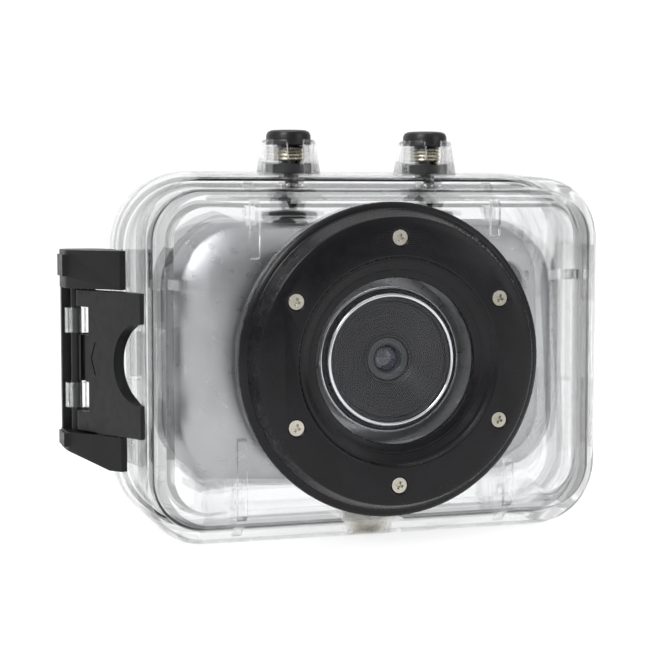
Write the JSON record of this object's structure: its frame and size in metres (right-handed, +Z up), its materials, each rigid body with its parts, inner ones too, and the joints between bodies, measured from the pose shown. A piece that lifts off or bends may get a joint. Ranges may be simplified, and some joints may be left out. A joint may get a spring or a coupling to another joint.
{
  "type": "action camera in a waterproof housing",
  "caption": "Compact action camera inside a clear waterproof housing, with a round lens port, spring plungers on top, a hinged rear door, a side latch and a tripod socket.",
  "frame": {"origin": "mouth of the tripod socket, in the flat bottom face of the housing", "axes": "+Z up, -Y towards the subject (the lens looks along -Y), +X to the right as the lens port is looked at from the front"},
  "size_m": [0.0898, 0.031, 0.0629],
  "materials": {
    "clear_polycarbonate": "clear, polished",
    "black_plastic": "satin black moulding",
    "black_rubber": "soft black",
    "steel": "plain steel",
    "spring_steel": "drawn wire",
    "silver_paint": "satin silver paint on plastic",
    "silver_metal": "satin, bright edges",
    "pale_grey": "matt",
    "lens_glass": "coated",
    "circuit_board": "green solder mask",
    "battery_wrap": "shrink wrap",
    "screen": "polished black"
  },
  "bodies": {
    "housing": {"front_shell": "clear_polycarbonate", "port_window": "clear_polycarbonate", "lens_port_ring": "black_plastic", "lens_face": "black_plastic", "front_window": "black_plastic", "lens_sleeve": "black_plastic", "lens_barrel": "black_plastic", "camera_rear_cover": "black_plastic", "speaker": "black_plastic", "seal_band": "black_rubber", "port_gasket": "black_rubber", "button_washers": "black_rubber", "stem_seals": "black_rubber", "tripod_insert": "steel", "port_screws": "steel", "hinge_pin": "steel", "usb_socket": "steel", "card_socket": "steel", "spring_left": "spring_steel", "spring_right": "spring_steel", "camera_front_cover": "silver_paint", "base_cap": "silver_paint", "lens_bezel": "silver_metal", "lens_trim_ring": "silver_metal", "aperture_plate": "pale_grey", "front_lens": "lens_glass", "rear_lens": "lens_glass", "sensor_board": "circuit_board", "main_board": "circuit_board", "battery": "battery_wrap", "lcd_panel": "screen", "lcd_window": "screen"},
    "rear_door": {"rear_door": "clear_polycarbonate", "door_gasket": "black_rubber"},
    "latch_frame": {"latch_frame": "black_plastic", "latch_pin": "steel", "lever_pins": "steel"},
    "latch_lever": {"latch_lever": "black_plastic"},
    "plunger_left": {"cap_left": "black_plastic", "stem_left": "black_plastic", "foot_left": "black_plastic"},
    "plunger_right": {"cap_right": "black_plastic", "stem_right": "black_plastic", "foot_right": "black_plastic"},
    "power_button": {"power_button": "silver_metal"},
    "shutter_button": {"shutter_button": "silver_metal"},
    "key_up": {"key_up": "silver_metal"},
    "key_ok": {"key_ok": "silver_metal"},
    "key_down": {"key_down": "silver_metal"}
  },
  "joints": [
    {"name": "door_hinge", "type": "hinge", "parent": "housing", "child": "rear_door", "pos_m": [0.0406, 0.012, 0.028], "axis": [0, 0, -1], "range_deg": [0, 100]},
    {"name": "latch_frame_hinge", "type": "hinge", "parent": "rear_door", "child": "latch_frame", "pos_m": [-0.0444, 0.0075, 0.028], "axis": [0, 0, -1], "range_deg": [0, 75]},
    {"name": "latch_lever_hinge", "type": "hinge", "parent": "latch_frame", "child": "latch_lever", "pos_m": [-0.04345, 0.0055, 0.028], "axis": [0, 0, -1], "range_deg": [0, 100]},
    {"name": "plunger_left_press", "type": "slide", "parent": "housing", "child": "plunger_left", "axis": [0, 0, -1], "range_m": [0, 0.001], "stiffness_N_per_m": 2000, "springref_m": -0.0005, "deforming": ["spring_left"]},
    {"name": "plunger_right_press", "type": "slide", "parent": "housing", "child": "plunger_right", "axis": [0, 0, -1], "range_m": [0, 0.001], "stiffness_N_per_m": 2000, "springref_m": -0.0005, "deforming": ["spring_right"]},
    {"name": "power_button_press", "type": "slide", "parent": "housing", "child": "power_button", "axis": [0, 0, -1], "range_m": [0, 0.001], "stiffness_N_per_m": 500, "springref_m": -0.0002},
    {"name": "shutter_button_press", "type": "slide", "parent": "housing", "child": "shutter_button", "axis": [0, 0, -1], "range_m": [0, 0.001], "stiffness_N_per_m": 500, "springref_m": -0.0002},
    {"name": "key_up_press", "type": "slide", "parent": "housing", "child": "key_up", "axis": [0, -1, 0], "range_m": [0, 0.0004], "stiffness_N_per_m": 1500, "springref_m": -0.0002},
    {"name": "key_ok_press", "type": "slide", "parent": "housing", "child": "key_ok", "axis": [0, -1, 0], "range_m": [0, 0.0004], "stiffness_N_per_m": 1500, "springref_m": -0.0002},
    {"name": "key_down_press", "type": "slide", "parent": "housing", "child": "key_down", "axis": [0, -1, 0], "range_m": [0, 0.0004], "stiffness_N_per_m": 1500, "springref_m": -0.0002}
  ],
  "couplings": [
    {"joint": "power_button_press", "follows": "plunger_left_press", "ratio": 1},
    {"joint": "shutter_button_press", "follows": "plunger_right_press", "ratio": 1}
  ]
}
